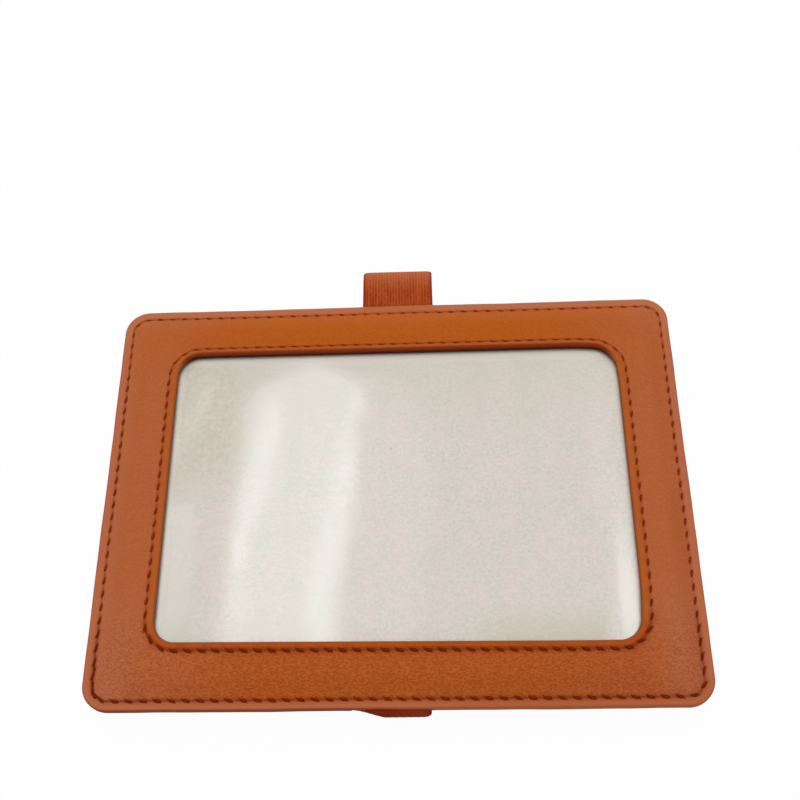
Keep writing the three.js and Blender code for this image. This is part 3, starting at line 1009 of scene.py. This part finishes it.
def clearFilm():
    material, wire, place = newMaterial("clearFilm")
    facing = wire.node("ShaderNodeLayerWeight", inputs={"Blend": 0.5}, output="Facing")
    smear = wire.noise(place, *film["smear"])
    bent = (place.axis(0) / mm).ease(*film["bentAt"])  # cloudier where it bends down at its right edge
    rough = film["rough"] + film["smearRough"] * smear + film["bentRough"] * bent
    shine = film["leastShine"] + film["slantShine"] * facing ** 5
    mirror = wire.node("ShaderNodeBsdfPrincipled", inputs={
        "Base Color": film["tint"], "Metallic": 1.0, "Roughness": rough})
    clear = wire.node("ShaderNodeBsdfTransparent", inputs={"Color": film["clear"]})
    surface(wire, wire.node("ShaderNodeMixShader", inputs={0: shine, 1: clear, 2: mirror}))
    return material


windowFilm = makeFilm()
windowFilm.data.materials.append(clearFilm())
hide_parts("window_film")
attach(windowFilm, "holder")
print("film stretched")


# Lining: a thin felted sheet behind the window, with the slot cut in it
lining = {
    "pale": shade(236, 225, 220), "warm": shade(226, 209, 203), "cool": shade(214, 208, 196),
    "fleck": shade(120, 106, 90), "dusk": shade(202, 193, 171), "paintedLight": shade(246, 236, 226),
    "noises": {
        "patches": (210.0, 4.0, 0.6), "mottle": (1700.0, 3.0, 0.65), "blotches": (900.0, 4.0, 0.65),
        "fibres": (1500.0, 3.0, 0.7, (0.7, 1.2, 1.0)), "streaks": (130.0, 2.0, 0.5, (1.0, 0.1, 1.0)),
    },
    "specks": 190.0, "rough": (0.85, 0.1), "bump": (0.35, 0.00006), "gloss": 0.1, "sharpEdge": 30,
    "tints": [
        ("warm", 1, ("patches", 0.36, 0.64)), ("pale", 0.8, ("nap", 0.36, 0.62)),
        ("cool", 1, ("streaks", 0.5, 0.75), ("streaked",)),
        # Painted light near the top and left edges, against the lip's shadow
        ("dusk", 1, ("dulled",)), ("paintedLight", 0.9, ("nearLipLight",)),
        ("fleck", 0.8, ("spots", 0.06, 0.025), ("rare", 0.72, 0.76), ("lot",)),
    ],
}


def makeLining():
    bm = bmesh.new()
    bmesh.ops.create_grid(bm, x_segments=1, y_segments=1, size=1)
    bmesh.ops.delete(bm, geom=bm.faces[:], context="FACES_ONLY")
    bmesh.ops.scale(bm, vec=(liningHigh[0], liningHigh[1], 1), verts=bm.verts)
    bmesh.ops.translate(bm, vec=(0, 0, liningHigh[2]), verts=bm.verts)
    sides = bm.edges[:]
    opening = slotLoop(bm, slot["halfWidth"], liningHigh[2])
    bmesh.ops.triangle_fill(bm, use_beauty=True, edges=sides + opening)
    thicken(bm, liningHigh[2] - liningLow[2])
    return fresh(bm, "pocketLining", lining["sharpEdge"])


def feltedSheet():
    material, wire, place = newMaterial("feltedSheet")
    x, y = place.axis(0) / mm, place.axis(1) / mm
    noise = noises(wire, place, lining)
    mottle, fibres, blotch = noise["mottle"], noise["fibres"], noise["blotches"].ease(0.34, 0.66)
    # Dulled high on the left, low on the right and along the top; painted light along the top and left
    # edges, where the lip's shadow falls
    lowerLeft = x.ease(-20, -34) * y.ease(0, -12)
    upperLeft = x.ease(-26, -36) * y.ease(-6, 13)
    lowerRight = x.ease(10, 24) * x.ease(43, 37) * y.ease(-22, -29)
    dulled = (upperLeft * (0.28 + 0.5 * blotch)).larger(lowerRight * 0.45)
    dulled = dulled.larger(lowerLeft * blotch * 0.1).larger(y.ease(8, 28) * 0.22)
    # A few dark specks, more of them high on the left
    cells = {"Vector": place, "Scale": lining["specks"]}
    spots, lot = (wire.node("ShaderNodeTexVoronoi", {}, cells, name) for name in ("Distance", "Color"))
    measures = {
        **noise, "nap": mottle * 0.6 + fibres * 0.4, "streaked": 0.4 + 0.2 * lowerLeft, "dulled": dulled,
        "nearLipLight": y.ease(28.2, 30.2).larger(x.ease(-43.5, -44.8) * 0.5),
        "spots": spots, "rare": lot.axis(0) + 0.4 * upperLeft, "lot": lot.axis(1),
    }
    coat(wire, lining, "cool", measures, mottle, mottle * 0.5 + fibres * 0.5)
    return material


pocketLining = makeLining()
pocketLining.data.materials.append(feltedSheet())
liningSize = (liningHigh - liningLow)[:2] * mm
slotArea = (4 * slotReach * slot["halfWidth"] + math.pi * slot["halfWidth"] ** 2) * mm ** 2
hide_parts("pocket_lining")
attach(pocketLining, "holder")
float(liningSize[0] * liningSize[1] - slotArea)
print("lining laid")


# Boards: grey pasteboard, seen only at the slot's edge
board = {
    "dark": shade(150, 140, 124), "pale": shade(176, 168, 152), "tints": [("pale", 1, ("fibre",))],
    "noises": {"pulp": (1400.0, 4.0, 0.65), "plies": (1800.0, 2.0, 0.5, (0.1, 0.1, 6.0))},
    "rough": (0.85, 0.1), "bump": (0.5, 0.00005), "gloss": 0.5,
}


def pasteboard():
    material, wire, place = newMaterial("pasteboard")
    noise = noises(wire, place, board)
    measures = {"fibre": noise["pulp"] * 0.6 + noise["plies"] * 0.4}
    coat(wire, board, "dark", measures, noise["pulp"], noise["pulp"])
    return material


boardFinish = pasteboard()
for node in ("front_board", "back_board"):
    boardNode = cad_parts[node]
    boardNode.data.materials.clear()
    boardNode.data.materials.append(boardFinish)
print("boards finished")


# Strap: one ribbed elastic band, out of the top seam, round behind and into the bottom seam
def strapPath():
    half = strap["thickness"] / 2
    low = runLow[2] + half
    bend = (rimLevel - low) / 2
    bendOut = topLoopEnd - half - bend
    turn = half + strap["foldRadius"]
    sweep = rimLevel - turn - low
    turnOut = bottomLoopEnd + half + turn
    sweepOut = bottomLoopEnd + half + sweep
    inner = halfSize[1] - strap["sewnDepth"]

    def arc(y, z, radius, first, last):
        steps = max(4, round(abs(last - first) * radius / strap["rowStep"]))
        angles = np.linspace(first, last, steps + 1)
        return [(y + radius * math.cos(angle), z + radius * math.sin(angle)) for angle in angles]

    def straight(start, end):
        steps = max(1, round(math.dist(start, end) / strap["rowStep"]))
        shares = np.linspace(0, 1, steps + 1)
        return [tuple(np.array(start) + (np.array(end) - start) * share) for share in shares]

    quarter = math.pi / 2
    path = straight((inner, rimLevel), (bendOut, rimLevel))
    path += arc(bendOut, rimLevel - bend, bend, quarter, -quarter)[1:]
    path += straight((bendOut, low), (sweepOut, low))[1:]
    path += arc(sweepOut, low + sweep, sweep, -quarter, -2 * quarter)[1:]
    path += arc(turnOut, rimLevel - turn, turn, 2 * quarter, quarter)[1:]
    path += straight((turnOut, rimLevel), (-inner, rimLevel))[1:]
    return np.array(path)


# One side of the band's section: half its thickness at each place across, raised at the ribs
def strapSection():
    count = strap["ribs"] * strap["acrossSteps"]
    across = np.linspace(-0.5, 0.5, count + 1)
    fromRib = np.abs((across * strap["ribs"] + 0.5) % 1 - 0.5) * strap["width"] / strap["ribs"]
    rise = strap["ribRise"] * bell(fromRib, strap["ribHalf"]) - strap["ribRise"]
    edge = 1 - (np.abs(across) * 2) ** strap["edgePower"] * strap["edgeThin"]
    return across * strap["width"], (0.5 + rise / strap["thickness"]) * edge


def makeStrap():
    path = strapPath()
    tangent = np.gradient(path, axis=0)
    tangent /= np.linalg.norm(tangent, axis=1)[:, None]
    normal = np.column_stack([-tangent[:, 1], tangent[:, 0]])
    length = np.concatenate([[0], np.cumsum(np.linalg.norm(np.diff(path, axis=0), axis=1))])
    across, halfThick = strapSection()
    acrossRound = np.concatenate([across, across[::-1], across[:1]])
    side = np.concatenate([halfThick, -halfThick[::-1], halfThick[:1]])
    nearRim = rimLevel - strap["rimMargin"]
    outside = np.abs(path[:, 0]) - halfSize[1]
    sewn = (path[:, 1] > nearRim) * smooth(1 - outside / strap["pressedOut"])
    thick = strap["thickness"] + (strap["pressed"] - strap["thickness"]) * sewn
    skew = smooth((path[:, 0] + halfSize[1]) / (2 * halfSize[1]))
    shift = strap["bottomShift"] + (strap["topShift"] - strap["bottomShift"]) * skew
    (topOver, topFrom), (lowOver, lowFrom) = strap["topCorner"], strap["lowCorner"]
    points = []
    for row, (y, z) in enumerate(path):
        below = -y - halfSize[1]
        narrow = 1 - strap["bendNarrow"] * smooth((y - halfSize[1]) / strap["bendReach"])
        x = acrossRound * narrow + shift[row] + (1 - narrow) * strap["bendLean"]
        above = y - topLoopEnd + topOver
        x += strap["cornerIn"] * smooth(above / topOver) * smooth(-acrossRound - topFrom)
        x -= strap["cornerIn"] * smooth(below / lowOver) * smooth(acrossRound - lowFrom)
        reach = side * thick[row]
        near = smooth((below + strap["tuckReach"]) / strap["tuckEase"])
        drawn = 1 + strap["slackLeft"] * smooth((nearRim - z) / strap["slackEase"])
        rowY = y - normal[row, 0] * reach + strapTuck(x) * drawn * near
        points.append(np.column_stack([x, rowY, z - normal[row, 1] * reach]))
    bm = bmesh.new()
    wrapGrid(bm, np.array(points), {"weave": (acrossRound, length)})
    bmesh.ops.holes_fill(bm, edges=[edge for edge in bm.edges if edge.is_boundary])
    bmesh.ops.recalc_face_normals(bm, faces=bm.faces)
    return fresh(bm, "elasticStrap", strap["sharpEdge"])


elasticLook = {
    "rib": shade(186, 84, 39), "ground": shade(152, 52, 14), "bend": shade(203, 116, 72),
    "dot": shade(108, 32, 12), "edge": shade(132, 42, 22), "tucked": shade(120, 34, 16),
    "dotPitch": 0.74, "columns": 2, "rough": (0.8, 0.12), "bump": (0.7, 0.0001), "gloss": 0.1,
    "noises": {
        "fuzz": (4200.0, 3.0, 0.65), "shadeAndWear": (320.0, 2.0), "patchy": (1100.0, 2.0, 0.6),
        "yarns": (1500.0, 2.0, 0.6, (1.0, 0.14, 0.14)),
    },
    # Painted light where the top loop turns over, and painted shade in the fold under the bottom edge
    "tints": [
        ("rib", 1, ("lit",)), ("bend", 0.66, ("y", 45.5, 52.5)), ("dot", 1, ("dotted",)),
        ("edge", 0.8, ("beside", 6.7, 7.45)), ("tucked", 1, ("y", -39, -42.5), ("inFold",)),
    ],
}


def ribbedElastic():
    material, wire, place = newMaterial("ribbedElastic")
    x, y = place.axis(0) / mm, place.axis(1) / mm
    weave = wire.run("weave")
    across, along = weave.axis(0), weave.axis(1)
    ribPitch = strap["width"] / strap["ribs"]
    inRib = (across / ribPitch + 100.5).fract()  # the whole hundred keeps it above 0
    rib = ((inRib - 0.5).size() * ribPitch).ease(0.2, 0.08)
    columns = inRib * elasticLook["columns"]
    column = (columns.fract() - 0.5).size() * 2.0
    step = (along / elasticLook["dotPitch"] + wire.maths("FLOOR", columns) * 0.5).fract() - 0.5
    dot = column.ease(0.6, 0.15) * (step.size() * 2.0).ease(0.7, 0.25)
    line = column.ease(0.5, 0.95)  # a pale line between every two columns of dots
    noise = noises(wire, place, elasticLook)
    fuzz = noise["fuzz"]
    patchy = (0.15 + 0.85 * noise["patchy"].ease(0.38, 0.62)) * (0.6 + 0.6 * fuzz)
    measures = {
        "y": y, "beside": across.size(), "inFold": 0.95 - 0.3 * x.ease(-2, 5),
        "lit": line * 0.42 + noise["yarns"].ease(0.3, 0.7) * 0.5 + 0.2 * noise["shadeAndWear"],
        # Fewer dots under the painted light where the top loop turns over
        "dotted": dot * patchy * (1 - 0.6 * y.ease(45.5, 52.5)),
    }
    coat(wire, elasticLook, "ground", measures, fuzz, rib * 0.3 + (1 - dot) * 0.5 + fuzz * 0.3)
    return material


elasticStrap = makeStrap()
elasticStrap.data.materials.append(ribbedElastic())
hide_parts("strap_top_loop", "strap_back_run", "strap_bottom_loop")
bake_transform(elasticStrap, "holder", "strap", start=(0, 0, rimLevel * mm), end=(0, 0, runHigh[2] * mm))
print("strap looped:", len(elasticStrap.data.polygons))
